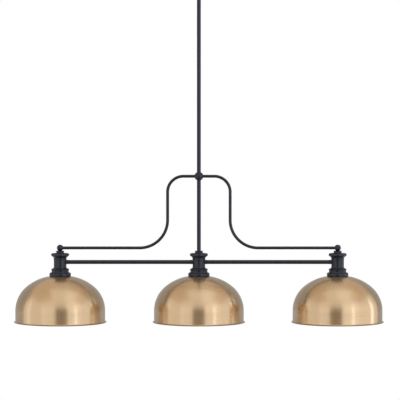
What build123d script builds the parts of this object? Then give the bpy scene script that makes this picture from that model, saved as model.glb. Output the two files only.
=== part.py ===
from build123d import *
from math import asin, atan2, cos, degrees, radians, sin, sqrt
import os

# Linear island pendant: three spun brass dome shades hanging from a black scroll frame.
# Millimetres, +Z up, +X along the row of shades. The origin lies in the ceiling plane,
# at the middle of the canopy, and everything hangs below it.

# ---- the frame's main spacing ----
head_pitch = 457.2  # one shade's axis to the next
stem_section = 304.8  # length of each of the two rods above the hub
hub_to_scroll_end = 236.2  # hub centre down to the end balls
hub_to_arm = 282.8  # hub centre down to the arm tubes
arm_to_crown = 47.2  # arm axis down to the top of a shade

# ---- clearances ----
thread_gap = 0.1  # radial, between a screwed pair
socket_gap = 0.05  # radial, between a plug and its socket
turning_gap = 0.05  # radial, at the nipple and the pin that the swivel turns on
free_gap = 0.3  # between pieces that move past each other

# ---- threaded pipe that joins the pieces ----
pipe_radius = 4.9
pipe_bore = 3.4
pipe_length = 28.0

# ---- mounting bar, on the ceiling box ----
bar_length = 110.0
bar_width = 25.4
bar_thickness = 2.5
bar_corner = 6.0
slot_spacing = 88.9
slot_width = 4.6
slot_length = 10.0
ground_screw_radius = 2.0
ground_head_radius = 4.2
ground_head_height = 2.4
ground_screw_place = 20.0  # from the bar's middle
nut_across_flats = 16.0
nut_height = 3.5

# ---- canopy ----
canopy_radius = 63.5
canopy_depth = 25.4
canopy_sheet = 1.2
canopy_step_radius = 50.0
canopy_step_height = 5.0
canopy_round = 4.0
collar_radius = 14.0
collar_height = 6.0
collar_round = 1.5

# ---- hang-straight swivel ----
swivel_radius = 11.0
swivel_cup_height = 13.0  # solid cup on the nipple
nipple_grip = 9.0  # how far the nipple reaches into the cup
ear_length = 12.0  # from the cup down to the pin
ear_radius = 8.0
slot_play = 0.4  # each side of the tongue
tongue_thickness = 9.0
tongue_eye_radius = 7.0
tongue_drop = 10.0  # pin to the top of the tongue's round end
tongue_end_radius = 9.0
tongue_end_height = 14.0
tongue_thread_depth = 11.0
pin_radius = 2.5
pin_stand = 1.0  # how far the pin stands out of each ear
pin_bevel = 0.6

# ---- stem and hub ----
stem_wall = 1.5
stem_pipe_grip = 17.0  # pipe inside the stem at the hub
stem_foot_grip = 12.0  # pipe inside the stem at the middle head
hub_radius = 14.8
scroll_socket_depth = 6.0

# ---- scroll rods ----
scroll_radius = 5.0
scroll_offset = 103.0  # the rod's upright run, from the stem's axis
scroll_upper_bend = 52.0
scroll_lower_bend = 92.0
end_ball_radius = 10.8
end_ball_socket_depth = 4.0
end_ball_neck_radius = 4.0
end_ball_stud_radius = 3.0
end_ball_stud_length = 14.0

# ---- arm tubes and their ferrules ----
arm_radius = 6.75
arm_wall = 1.5
ferrule_neck_radius = 6.4
ferrule_neck_length = 2.0
ferrule_bead_radius = 7.4
ferrule_bead_length = 4.5
ferrule_bore = 3.4
ferrule_body_depth = 4.0
ferrule_arm_depth = 8.0

# ---- head, from the shade's crown upwards ----
cup_radius = 35.3
cup_height = 12.4
cup_wall = 3.5
cup_top_round = 4.0
cup_foot_round = 2.0
ring_edge_radius = 29.5
ring_neck_radius = 28.2
ring_foot_radius = 29.2
ring_height = 13.0
ring_foot_height = 3.0
ring_edge_height = 2.6
ring_edge_slope = 1.6
ring_neck_slope = 2.2
ring_wall = 4.0
ring_roof = 3.5
body_radius = 20.8
body_bore = 15.5
body_floor = 4.0
body_foot_radius = 25.8
body_foot_height = 7.0
body_foot_edge = 1.2
body_height = 29.6  # step ring up to the cap's skirt
body_spigot_radius = 18.6
body_spigot_height = 7.5
cap_skirt_radius = 21.5
cap_skirt_height = 7.0
cap_slope_height = 6.4
cap_radius = 29.8
cap_rim_height = 7.9
cap_top_round = 4.6
cap_edge_round = 2.4
seat_foot_radius = 15.2
seat_waist_radius = 12.2
seat_radius = 14.4
seat_height = 7.7
seat_lip_height = 1.8
seat_dish_radius = 11.5
seat_dish_depth = 0.9

# ---- dome shade: spun sheet, upright wall, shoulder, crown, curled lip ----
shade_sheet = 0.9
shade_wall_radius = 148.0
shade_wall_height = 38.9
shade_shoulder_radius = 103.0
shade_shoulder_angle = 49.5
shade_crown_radius = 152.4
shade_flat_radius = 34.0
rim_radius = 152.4
lip_radius = 1.6

# ---- lampholder and bulb ----
bulb_cap_radius = 13.1
bulb_cap_length = 23.0
bulb_cap_roof = 4.6
bulb_tip_height = 5.0
bulb_tip_radius = 4.5
bulb_insulator_radius = 9.5
bulb_insulator_height = 3.6
bulb_tip_round = 1.0
bulb_glass_wall = 1.0
bulb_neck_radius = 12.2
bulb_neck_length = 3.0
bulb_neck_insert = 4.0
bulb_globe_radius = 30.0
bulb_globe_drop = 51.3  # cap's lower edge to the globe's centre
shell_sheet = 0.5
shell_mouth_radius = 8.0
holder_wall = 5.8
holder_flange_width = 4.2
holder_flange_height = 4.0
holder_mouth_depth = 34.0  # crown down to the lampholder's mouth
holder_roof_depth = 2.0  # crown down to the lampholder's inner roof
contact_radius = 5.0
contact_height = 0.8
shade_hole_gap = 0.7
shade_nut_width = 7.0
shade_nut_height = 7.0
shade_nut_round = 1.2

# ---- places that follow from the sizes ----
stem_bore = pipe_radius + thread_gap
stem_radius = stem_bore + stem_wall
arm_bore = arm_radius - arm_wall
hub_flat = sqrt(hub_radius**2 - stem_radius**2)
nipple_hole = pipe_radius + thread_gap

canopy_bottom = -canopy_depth
collar_bottom = canopy_bottom - collar_height
swivel_top = collar_bottom - free_gap
cup_bottom = swivel_top - swivel_cup_height
pin_z = cup_bottom - ear_length
tongue_shoulder = pin_z - tongue_drop
tongue_bottom = tongue_shoulder - tongue_end_height
stem_joint = tongue_bottom - stem_section
hub_z = stem_joint - stem_section - hub_flat
scroll_end_z = hub_z - hub_to_scroll_end
arm_z = hub_z - hub_to_arm
crown_z = arm_z - arm_to_crown

ring_base = cup_height
body_base = ring_base + ring_height
skirt_base = body_base + body_height
cap_slope_base = skirt_base + cap_skirt_height
cap_rim_base = cap_slope_base + cap_slope_height
seat_base = cap_rim_base + cap_rim_height
seat_floor = seat_base + seat_height - seat_dish_depth

shell_inner = bulb_cap_radius + free_gap
shell_outer = shell_inner + shell_sheet
holder_bore = shell_outer + socket_gap
holder_radius = holder_bore + holder_wall
shade_hole = holder_radius + shade_hole_gap
holder_top = cup_height - cup_wall
contact_bottom = -holder_roof_depth - contact_height
tip_top = contact_bottom - free_gap
cap_top = tip_top - bulb_tip_height
cap_bottom = cap_top - bulb_cap_length

# The dome's section, from the rim up: the centres of the shoulder's and the crown's arcs,
# and the height at which the crown turns flat under the cup.
shoulder_centre = (shade_wall_radius - shade_shoulder_radius, shade_wall_height)
arc_step = shade_crown_radius - shade_shoulder_radius
crown_centre_r = shoulder_centre[0] - arc_step * cos(radians(shade_shoulder_angle))
crown_centre_h = shoulder_centre[1] - arc_step * sin(radians(shade_shoulder_angle))
crown_reach = shade_flat_radius - crown_centre_r
shade_height = crown_centre_h + sqrt(shade_crown_radius**2 - crown_reach**2)

left, middle, right = -1, 0, 1
side_names = {left: "left", middle: "middle", right: "right"}

os.makedirs("parts", exist_ok=True)


def keep(piece, name):
    """Label a finished piece and write its STEP file."""
    piece.part.label = name
    export_step(piece.part, f"parts/{name}.step")


def upright(x, z):
    """Upright plane for a turned section: local X is the radius, local Y the height above z."""
    return Plane((x, 0, z), x_dir=(1, 0, 0), z_dir=(0, -1, 0))


def upright_axis(x):
    """The axis that a turned piece at x is revolved about."""
    return Axis((x, 0, 0), (0, 0, 1))


# ======================= ceiling group =======================

# Steel bar across the ceiling box: two slots for the box screws, a tapped middle hole for
# the hanging nipple and a tapped hole for the ground screw.
with BuildPart() as mounting_bar:
    with BuildSketch(Plane.XY.offset(-bar_thickness)):
        RectangleRounded(bar_length, bar_width, bar_corner)
        with Locations((-slot_spacing / 2, 0), (slot_spacing / 2, 0)):
            SlotOverall(slot_length, slot_width, mode=Mode.SUBTRACT)
        Circle(nipple_hole, mode=Mode.SUBTRACT)
        with Locations((ground_screw_place, 0)):
            Circle(ground_screw_radius + thread_gap, mode=Mode.SUBTRACT)
    extrude(amount=bar_thickness)
keep(mounting_bar, "mounting_bar")

# Ground screw, head below the bar, with a cross recess.
with BuildPart() as ground_screw:
    with BuildSketch(upright(ground_screw_place, -bar_thickness)):
        with BuildLine():
            Polyline(
                (0, bar_thickness),
                (ground_screw_radius, bar_thickness),
                (ground_screw_radius, 0),
                (ground_head_radius, 0),
                (ground_head_radius, -ground_head_height / 2),
                (ground_head_radius / 2, -ground_head_height),
                (0, -ground_head_height),
                close=True,
            )
        make_face()
    revolve(axis=upright_axis(ground_screw_place))
    with BuildSketch(Plane.XY.offset(-bar_thickness - ground_head_height)):
        with Locations((ground_screw_place, 0)):
            Rectangle(ground_head_radius, ground_head_radius / 5)
            Rectangle(ground_head_radius / 5, ground_head_radius)
    extrude(amount=ground_head_height / 2, mode=Mode.SUBTRACT)
keep(ground_screw, "ground_screw")

# Hex lock nut under the bar.
with BuildPart() as lock_nut:
    with BuildSketch(Plane.XY.offset(-bar_thickness - nut_height)):
        RegularPolygon(nut_across_flats / 2, 6, major_radius=False)
        Circle(nipple_hole, mode=Mode.SUBTRACT)
    extrude(amount=nut_height)
keep(lock_nut, "lock_nut")

# Hanging nipple: threaded pipe from the bar down into the swivel's cup.
with BuildPart() as hanger_nipple:
    with BuildSketch(Plane.XY):
        Circle(pipe_radius)
        Circle(pipe_bore, mode=Mode.SUBTRACT)
    extrude(amount=swivel_top - nipple_grip)
keep(hanger_nipple, "hanger_nipple")

# Canopy: spun cup with one step, edge against the ceiling.
with BuildPart() as canopy:
    with BuildSketch(Plane.XZ):
        with BuildLine():
            FilletPolyline(
                (canopy_radius, 0),
                (canopy_radius, -canopy_depth + canopy_step_height),
                (canopy_step_radius, -canopy_depth + canopy_step_height),
                (canopy_step_radius, -canopy_depth),
                (nipple_hole, -canopy_depth),
                radius=(canopy_round, canopy_sheet, canopy_round / 2),
            )
            offset(amount=canopy_sheet, side=Side.RIGHT)
        make_face()
    revolve(axis=Axis.Z)
keep(canopy, "canopy")

# Threaded collar that holds the canopy up.
with BuildPart() as canopy_collar:
    with BuildSketch(Plane.XY.offset(collar_bottom)):
        Circle(collar_radius)
        Circle(nipple_hole, mode=Mode.SUBTRACT)
    extrude(amount=collar_height)
    circles = canopy_collar.edges().filter_by(GeomType.CIRCLE)
    fillet(circles.group_by(SortBy.RADIUS)[-1].sort_by(Axis.Z)[0], collar_round)
keep(canopy_collar, "canopy_collar")

# ======================= swivel =======================

# Swivel body: a cup that turns on the nipple, with two rounded ears for the pin.
with BuildPart() as swivel_body:
    with BuildSketch(Plane.XY.offset(swivel_top)):
        Circle(swivel_radius)
    extrude(amount=-(swivel_cup_height + ear_length + ear_radius))
    with BuildSketch(Plane.XZ):
        with Locations((0, (swivel_top + cup_bottom) / 2)):
            Rectangle(2 * swivel_radius, swivel_cup_height)
        with Locations((0, (cup_bottom + pin_z) / 2)):
            Rectangle(2 * ear_radius, ear_length)
        with Locations((0, pin_z)):
            Circle(ear_radius)
    extrude(amount=swivel_radius, both=True, mode=Mode.INTERSECT)
    with BuildSketch(Plane.XZ):
        with Locations((0, cup_bottom - (ear_length + ear_radius) / 2)):
            Rectangle(2 * swivel_radius, ear_length + ear_radius)
    extrude(amount=tongue_thickness / 2 + slot_play, both=True, mode=Mode.SUBTRACT)
    with BuildSketch(Plane.XY.offset(swivel_top)):
        Circle(pipe_radius + turning_gap)
    extrude(amount=-swivel_cup_height, mode=Mode.SUBTRACT)
    with BuildSketch(Plane.XZ):
        with Locations((0, pin_z)):
            Circle(pin_radius + socket_gap)
    extrude(amount=swivel_radius, both=True, mode=Mode.SUBTRACT)
keep(swivel_body, "swivel_body")

# Pin through both ears, its ends bevelled where they stand out.
with BuildPart() as swivel_pin:
    with BuildSketch(Plane.XZ):
        with Locations((0, pin_z)):
            Circle(pin_radius)
    extrude(amount=swivel_radius + pin_stand, both=True)
    chamfer(swivel_pin.edges().filter_by(GeomType.CIRCLE), pin_bevel)
keep(swivel_pin, "swivel_pin")

# Tongue: an eye on the pin, widening into a round end that the stem screws into.
with BuildPart() as swivel_tongue:
    with BuildSketch(Plane.XZ):
        with Locations((0, pin_z)):
            Circle(tongue_eye_radius)
        with Locations((0, pin_z - tongue_drop / 2)):
            Rectangle(2 * tongue_eye_radius, tongue_drop)
    extrude(amount=tongue_thickness / 2, both=True)
    with BuildSketch(Plane.XY.offset(tongue_bottom)):
        Circle(tongue_end_radius)
    extrude(amount=tongue_end_height)
    fillet(swivel_tongue.edges().filter_by(GeomType.CIRCLE).sort_by(Axis.Z)[0], collar_round)
    with BuildSketch(Plane.XZ):
        with Locations((0, pin_z)):
            Circle(pin_radius + turning_gap)
    extrude(amount=tongue_thickness, both=True, mode=Mode.SUBTRACT)
    with BuildSketch(Plane.XY.offset(tongue_bottom)):
        Circle(nipple_hole)
    extrude(amount=tongue_thread_depth, mode=Mode.SUBTRACT)
keep(swivel_tongue, "swivel_tongue")

# ======================= stem and hub =======================


def make_stem(name, top, bottom):
    """Plain tube between two heights, tapped inside for the pipe nipples."""
    with BuildPart() as stem:
        with BuildSketch(Plane.XY.offset(bottom)):
            Circle(stem_radius)
            Circle(stem_bore, mode=Mode.SUBTRACT)
        extrude(amount=top - bottom)
    keep(stem, name)


seat_floor_z = crown_z + seat_floor
make_stem("stem_upper", tongue_bottom, stem_joint)
make_stem("stem_middle", stem_joint, hub_z + hub_flat)
make_stem("stem_lower", hub_z - hub_flat, seat_floor_z)

# Hub ball: flats for the stems, a tapped hole right through, a socket for each scroll rod.
with BuildPart() as hub_ball:
    with BuildSketch(Plane.XZ):
        with Locations((0, hub_z)):
            Circle(hub_radius)
        with Locations((hub_radius / 2, hub_z)):
            Rectangle(hub_radius, 2 * hub_flat, mode=Mode.INTERSECT)
    revolve(axis=Axis.Z)
    with BuildSketch(Plane.XY.offset(hub_z - hub_radius)):
        Circle(nipple_hole)
    extrude(amount=2 * hub_radius, mode=Mode.SUBTRACT)
    for side in (left, right):
        with BuildSketch(Plane((side * hub_radius, 0, hub_z), z_dir=(-side, 0, 0))):
            Circle(scroll_radius + socket_gap)
        extrude(amount=scroll_socket_depth, mode=Mode.SUBTRACT)
keep(hub_ball, "hub_ball")

# ======================= scroll rods and end balls =======================


def make_scroll(side):
    """Round rod: out of the hub, down, and out again into the end ball."""
    end_x = head_pitch - end_ball_radius + end_ball_socket_depth
    with BuildPart() as scroll:
        with BuildLine(Plane.XZ) as path:
            FilletPolyline(
                (side * (hub_radius - scroll_socket_depth), hub_z),
                (side * scroll_offset, hub_z),
                (side * scroll_offset, scroll_end_z),
                (side * end_x, scroll_end_z),
                radius=(scroll_upper_bend, scroll_lower_bend),
            )
        with BuildSketch(Plane(origin=path.line @ 0, z_dir=path.line % 0)):
            Circle(scroll_radius)
        sweep()
    keep(scroll, f"scroll_{side_names[side]}")


def make_end_ball(side):
    """Ball with a short neck and a stud that screws down through the seat into the cap."""
    x = side * head_pitch
    neck_length = scroll_end_z - seat_floor_z
    with BuildPart() as ball:
        with BuildSketch(upright(x, scroll_end_z)):
            Circle(end_ball_radius)
            with Locations((end_ball_radius / 2, 0)):
                Rectangle(end_ball_radius, 2 * end_ball_radius, mode=Mode.INTERSECT)
            with Locations((end_ball_neck_radius / 2, -neck_length / 2)):
                Rectangle(end_ball_neck_radius, neck_length)
            with Locations((end_ball_stud_radius / 2, -neck_length - end_ball_stud_length / 2)):
                Rectangle(end_ball_stud_radius, end_ball_stud_length)
        revolve(axis=upright_axis(x))
        with BuildSketch(Plane((x - side * end_ball_radius, 0, scroll_end_z), z_dir=(side, 0, 0))):
            Circle(scroll_radius + socket_gap)
        extrude(amount=end_ball_socket_depth, mode=Mode.SUBTRACT)
    keep(ball, f"end_ball_{side_names[side]}")


# ======================= arm tubes =======================


def make_arm(side):
    """Tube between the middle head and an end head, from ferrule to ferrule."""
    start = body_radius + ferrule_neck_length + ferrule_bead_length
    with BuildPart() as arm:
        with BuildSketch(Plane((side * start, 0, arm_z), z_dir=(side, 0, 0))):
            Circle(arm_radius)
            Circle(arm_bore, mode=Mode.SUBTRACT)
        extrude(amount=head_pitch - 2 * start)
    keep(arm, f"arm_{side_names[side]}")


for side in (left, right):
    make_scroll(side)
    make_end_ball(side)
    make_arm(side)

# Ferrules: a necked bead where each arm tube meets a head, plugged into both.
with BuildPart() as arm_ferrules:
    for x, out in ((-head_pitch, 1), (0, -1), (0, 1), (head_pitch, -1)):
        bead_start = body_radius + ferrule_neck_length
        bead_end = bead_start + ferrule_bead_length
        with BuildSketch(Plane((x, 0, arm_z), x_dir=(out, 0, 0), z_dir=(0, -out, 0))):
            with BuildLine():
                Polyline(
                    (body_radius - ferrule_body_depth, ferrule_bore),
                    (body_radius - ferrule_body_depth, ferrule_neck_radius),
                    (bead_start, ferrule_neck_radius),
                )
                ThreePointArc(
                    (bead_start, ferrule_neck_radius),
                    ((bead_start + bead_end) / 2, ferrule_bead_radius),
                    (bead_end, ferrule_neck_radius),
                )
                Polyline(
                    (bead_end, ferrule_neck_radius),
                    (bead_end, arm_bore - socket_gap),
                    (bead_end + ferrule_arm_depth, arm_bore - socket_gap),
                    (bead_end + ferrule_arm_depth, ferrule_bore),
                    (body_radius - ferrule_body_depth, ferrule_bore),
                )
            make_face()
        revolve(axis=Axis((0, 0, arm_z), (1, 0, 0)))
keep(arm_ferrules, "arm_ferrules")

# ======================= pipe nipples =======================

# Eight equal pipe nipples: five along the stem, one down through each head's stack.
head_pipe_top = crown_z + body_base + body_floor
pipe_tops = [
    (0, tongue_bottom + tongue_thread_depth),
    (0, stem_joint + pipe_length / 2),
    (0, hub_z + hub_flat + stem_pipe_grip),
    (0, hub_z - hub_flat - stem_pipe_grip + pipe_length),
    (0, seat_floor_z + stem_foot_grip),
    (-head_pitch, head_pipe_top),
    (0, head_pipe_top),
    (head_pitch, head_pipe_top),
]
with BuildPart() as pipe_nipples:
    for x, top in pipe_tops:
        with BuildSketch(Plane.XY.offset(top)):
            with Locations((x, 0)):
                Circle(pipe_radius)
                Circle(pipe_bore, mode=Mode.SUBTRACT)
        extrude(amount=-pipe_length)
keep(pipe_nipples, "pipe_nipples")

# ======================= heads =======================


def make_seat(side):
    """Small dished collar on top of the cap."""
    x = side * head_pitch
    hole = nipple_hole if side == middle else end_ball_stud_radius + thread_gap
    top = seat_height
    with BuildPart() as seat:
        with BuildSketch(upright(x, crown_z + seat_base)):
            with BuildLine():
                Line((hole, 0), (seat_foot_radius, 0))
                TangentArc(
                    (seat_waist_radius, top - seat_lip_height),
                    (seat_foot_radius, 0),
                    tangent=(0, -1),
                )
                Polyline(
                    (seat_waist_radius, top - seat_lip_height),
                    (seat_radius, top - seat_lip_height),
                    (seat_radius, top),
                    (seat_dish_radius, top),
                    (seat_dish_radius, top - seat_dish_depth),
                    (hole, top - seat_dish_depth),
                    (hole, 0),
                )
            make_face()
        revolve(axis=upright_axis(x))
    keep(seat, f"seat_{side_names[side]}")


def make_cap(side):
    """Bulged cap: round rim, sloping underside and a skirt that screws over the body."""
    x = side * head_pitch
    hole = nipple_hole if side == middle else end_ball_stud_radius + thread_gap
    with BuildPart() as cap:
        with BuildSketch(upright(x, crown_z)):
            with BuildLine():
                FilletPolyline(
                    (hole, seat_base),
                    (cap_radius, seat_base),
                    (cap_radius, cap_rim_base),
                    (cap_skirt_radius, cap_slope_base),
                    (cap_skirt_radius, skirt_base),
                    radius=(cap_top_round, cap_edge_round, cap_edge_round),
                )
                Polyline(
                    (cap_skirt_radius, skirt_base),
                    (body_spigot_radius + thread_gap, skirt_base),
                    (body_spigot_radius + thread_gap, skirt_base + body_spigot_height + thread_gap),
                    (hole, skirt_base + body_spigot_height + thread_gap),
                    (hole, seat_base),
                )
            make_face()
        revolve(axis=upright_axis(x))
    keep(cap, f"cap_{side_names[side]}")


def make_body(side):
    """Hollow turned body: flared foot, spigot for the cap, a side hole for each arm."""
    x = side * head_pitch
    arm_sides = (left, right) if side == middle else (-side,)
    with BuildPart() as body:
        with BuildSketch(upright(x, crown_z)):
            with BuildLine():
                Polyline(
                    (nipple_hole, body_base),
                    (body_foot_radius, body_base),
                    (body_foot_radius, body_base + body_foot_edge),
                )
                TangentArc(
                    (body_radius, body_base + body_foot_height),
                    (body_foot_radius, body_base + body_foot_edge),
                    tangent=(0, -1),
                )
                Polyline(
                    (body_radius, body_base + body_foot_height),
                    (body_radius, skirt_base),
                    (body_spigot_radius, skirt_base),
                    (body_spigot_radius, skirt_base + body_spigot_height),
                    (body_bore, skirt_base + body_spigot_height),
                    (body_bore, body_base + body_floor),
                    (nipple_hole, body_base + body_floor),
                    (nipple_hole, body_base),
                )
            make_face()
        revolve(axis=upright_axis(x))
        for arm_side in arm_sides:
            with BuildSketch(Plane((x, 0, arm_z), z_dir=(arm_side, 0, 0))):
                Circle(ferrule_neck_radius + socket_gap)
            extrude(amount=body_foot_radius, mode=Mode.SUBTRACT)
    keep(body, f"body_{side_names[side]}")


def make_step_ring(side):
    """Hollow cast ring between body and cup: a thin edge over a straight neck."""
    x = side * head_pitch
    neck_low = ring_base + ring_foot_height
    edge_top = body_base - ring_edge_slope
    edge_low = edge_top - ring_edge_height
    with BuildPart() as ring:
        with BuildSketch(upright(x, crown_z)):
            with BuildLine():
                Polyline(
                    (nipple_hole, body_base - ring_roof),
                    (ring_neck_radius - ring_wall, body_base - ring_roof),
                    (ring_neck_radius - ring_wall, ring_base),
                    (ring_foot_radius, ring_base),
                    (ring_neck_radius, neck_low),
                    (ring_neck_radius, edge_low - ring_neck_slope),
                    (ring_edge_radius, edge_low),
                    (ring_edge_radius, edge_top),
                    (body_foot_radius, body_base),
                    (nipple_hole, body_base),
                    close=True,
                )
            make_face()
        revolve(axis=upright_axis(x))
    keep(ring, f"step_ring_{side_names[side]}")


def make_shade_cup(side):
    """Inverted cup that covers the lampholder and bears on the shade's crown."""
    x = side * head_pitch
    with BuildPart() as cup:
        with BuildSketch(upright(x, crown_z)):
            with BuildLine():
                FilletPolyline(
                    (nipple_hole, cup_height),
                    (cup_radius, cup_height),
                    (cup_radius, 0),
                    (cup_radius - cup_wall, 0),
                    radius=(cup_top_round, cup_foot_round),
                )
                Polyline(
                    (cup_radius - cup_wall, 0),
                    (cup_radius - cup_wall, holder_top),
                    (nipple_hole, holder_top),
                    (nipple_hole, cup_height),
                )
            make_face()
        revolve(axis=upright_axis(x))
    keep(cup, f"shade_cup_{side_names[side]}")


def make_shade(side):
    """Spun dome: curled lip, upright wall, round shoulder and shallow crown with a hole."""
    x = side * head_pitch
    bead_centre = rim_radius - lip_radius
    with BuildPart() as shade:
        with BuildSketch(upright(x, crown_z - shade_height)):
            with BuildLine():
                for inset in (0, shade_sheet):
                    skin_r = shade_wall_radius - inset
                    skin_top = shade_height - inset
                    crown_rise = (skin_top - crown_centre_h) / (shade_crown_radius - inset)
                    crown_sweep = degrees(asin(crown_rise)) - shade_shoulder_angle
                    Line((skin_r, lip_radius), (skin_r, shade_wall_height))
                    CenterArc(shoulder_centre, shade_shoulder_radius - inset, 0, shade_shoulder_angle)
                    crown = CenterArc(
                        (crown_centre_r, crown_centre_h),
                        shade_crown_radius - inset,
                        shade_shoulder_angle,
                        crown_sweep,
                    )
                    Line(crown @ 1, (shade_hole, skin_top))
                Line((shade_wall_radius, lip_radius), (shade_wall_radius - shade_sheet, lip_radius))
                Line((shade_hole, shade_height), (shade_hole, shade_height - shade_sheet))
            make_face()
        revolve(axis=upright_axis(x))
        with BuildSketch(upright(x, crown_z - shade_height)):
            with Locations((bead_centre, lip_radius)):
                Circle(lip_radius)
            with Locations(((shade_wall_radius - shade_sheet + bead_centre) / 2, lip_radius)):
                Rectangle(bead_centre - shade_wall_radius + shade_sheet, shade_sheet)
        revolve(axis=upright_axis(x))
    keep(shade, f"shade_{side_names[side]}")


def make_lampholder(side):
    """Porcelain lampholder: flange on the crown, threaded barrel through it, deep bore."""
    x = side * head_pitch
    pipe_end = body_base + body_floor - pipe_length
    flange_radius = holder_radius + holder_flange_width
    with BuildPart() as holder:
        with BuildSketch(upright(x, crown_z)):
            with BuildLine():
                Polyline(
                    (nipple_hole, holder_top),
                    (holder_radius, holder_top),
                    (holder_radius, holder_flange_height),
                    (flange_radius, holder_flange_height),
                    (flange_radius, 0),
                    (holder_radius, 0),
                    (holder_radius, -holder_mouth_depth),
                    (holder_bore, -holder_mouth_depth),
                    (holder_bore, -holder_roof_depth),
                    (0, -holder_roof_depth),
                    (0, pipe_end),
                    (nipple_hole, pipe_end),
                    close=True,
                )
            make_face()
        revolve(axis=upright_axis(x))
    keep(holder, f"lampholder_{side_names[side]}")


def make_shade_nut(side):
    """Ring nut on the lampholder's barrel, clamping the shade from below."""
    x = side * head_pitch
    inner = holder_radius + thread_gap
    with BuildPart() as nut:
        with BuildSketch(upright(x, crown_z - shade_sheet)):
            with Locations((inner + shade_nut_width / 2, -shade_nut_height / 2)):
                RectangleRounded(shade_nut_width, shade_nut_height, shade_nut_round)
        revolve(axis=upright_axis(x))
    keep(nut, f"shade_nut_{side_names[side]}")


def make_screw_shell(side):
    """Brass screw shell lining the lampholder's bore, with an inturned top."""
    x = side * head_pitch
    top = contact_bottom
    with BuildPart() as shell:
        with BuildSketch(upright(x, crown_z)):
            with BuildLine():
                Polyline(
                    (shell_outer, -holder_mouth_depth),
                    (shell_outer, top),
                    (shell_mouth_radius, top),
                    (shell_mouth_radius, top - shell_sheet),
                    (shell_inner, top - shell_sheet),
                    (shell_inner, -holder_mouth_depth),
                    close=True,
                )
            make_face()
        revolve(axis=upright_axis(x))
    keep(shell, f"screw_shell_{side_names[side]}")


def make_contact(side):
    """Centre contact, riveted to the lampholder's roof."""
    x = side * head_pitch
    with BuildPart() as contact:
        with BuildSketch(Plane.XY.offset(crown_z + contact_bottom)):
            with Locations((x, 0)):
                Circle(contact_radius)
        extrude(amount=contact_height)
    keep(contact, f"centre_contact_{side_names[side]}")


def make_bulb_tip(side):
    """Bulb's end: solder contact over a tapered glass insulator."""
    x = side * head_pitch
    with BuildPart() as tip:
        with BuildSketch(upright(x, crown_z + cap_top)):
            with BuildLine():
                Polyline(
                    (0, 0),
                    (bulb_insulator_radius, 0),
                    (bulb_tip_radius, bulb_insulator_height),
                    (bulb_tip_radius, bulb_tip_height),
                    (0, bulb_tip_height),
                    close=True,
                )
            make_face()
        revolve(axis=upright_axis(x))
        fillet(tip.edges().sort_by(Axis.Z)[-1], bulb_tip_round)
    keep(tip, f"bulb_tip_{side_names[side]}")


def make_bulb_cap(side):
    """Bulb's screw cap: a thin cup, its open end holding the glass neck."""
    x = side * head_pitch
    cup_roof = cap_top - bulb_cap_roof
    with BuildPart() as cap:
        with BuildSketch(upright(x, crown_z)):
            with BuildLine():
                Polyline(
                    (0, cap_top),
                    (bulb_insulator_radius, cap_top),
                    (bulb_cap_radius, cap_top - (bulb_cap_radius - bulb_insulator_radius)),
                    (bulb_cap_radius, cap_bottom),
                    (bulb_neck_radius, cap_bottom),
                    (bulb_neck_radius, cup_roof),
                    (0, cup_roof),
                    close=True,
                )
            make_face()
        revolve(axis=upright_axis(x))
    keep(cap, f"bulb_cap_{side_names[side]}")


def make_bulb_glass(side):
    """Thin pear-shaped glass: neck in the cap, a flare that meets the globe tangentially."""
    x = side * head_pitch
    flare_drop = bulb_globe_drop - bulb_neck_length
    flare_radius = (bulb_neck_radius**2 + flare_drop**2 - bulb_globe_radius**2) / (
        2 * (bulb_globe_radius - bulb_neck_radius)
    )
    flare_angle = degrees(atan2(flare_drop, bulb_neck_radius + flare_radius))
    with BuildPart() as glass:
        with BuildSketch(upright(x, crown_z + cap_bottom)):
            with BuildLine():
                neck = Line((bulb_neck_radius, bulb_neck_insert), (bulb_neck_radius, -bulb_neck_length))
                flare = JernArc(neck @ 1, neck % 1, flare_radius, flare_angle)
                JernArc(flare @ 1, flare % 1, bulb_globe_radius, -90 - flare_angle)
                offset(amount=bulb_glass_wall, side=Side.RIGHT)
            make_face()
        revolve(axis=upright_axis(x))
    keep(glass, f"bulb_glass_{side_names[side]}")


for side in (left, middle, right):
    make_seat(side)
    make_cap(side)
    make_body(side)
    make_step_ring(side)
    make_shade_cup(side)
    make_shade(side)
    make_lampholder(side)
    make_shade_nut(side)
    make_screw_shell(side)
    make_contact(side)
    make_bulb_tip(side)
    make_bulb_cap(side)
    make_bulb_glass(side)
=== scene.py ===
import bmesh
import bpy
from math import acos, asin, cos, pi, radians, sin
from mathutils import Matrix, Vector


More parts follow.
